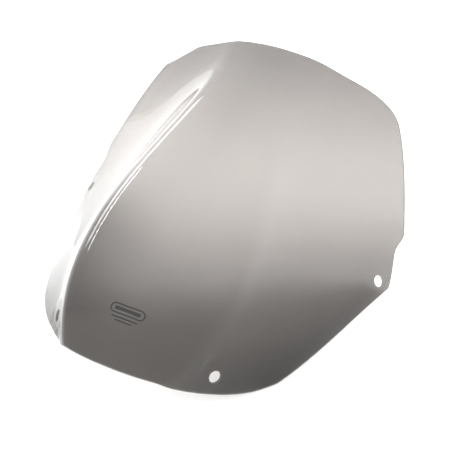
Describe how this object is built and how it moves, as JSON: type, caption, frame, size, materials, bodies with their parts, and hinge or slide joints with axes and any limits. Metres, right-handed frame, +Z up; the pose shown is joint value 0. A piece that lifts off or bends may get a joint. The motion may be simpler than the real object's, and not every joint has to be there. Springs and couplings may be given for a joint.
{
  "type": "windshield screen",
  "caption": "Smoke-tinted clear acrylic screen for a motorcycle fairing, thermoformed with a raised nose, swept flanks, side notches and fixing holes.",
  "frame": {"origin": "centre of the underside of the bounding box, on the surface the screen stands on", "axes": "+X across the screen, -Y towards the front of the motorcycle, +Z up with the screen standing on its two lower side edges"},
  "size_m": [0.384, 0.4056, 0.1972],
  "materials": {
    "smoked_acrylic": "polished, grey smoke tint, see-through",
    "ink": "satin printed ink"
  },
  "bodies": {
    "root": {"screen_sheet": "smoked_acrylic", "mark_border": "ink", "mark_bar": "ink", "mark_line_upper": "ink", "mark_line_lower": "ink"}
  },
  "joints": []
}
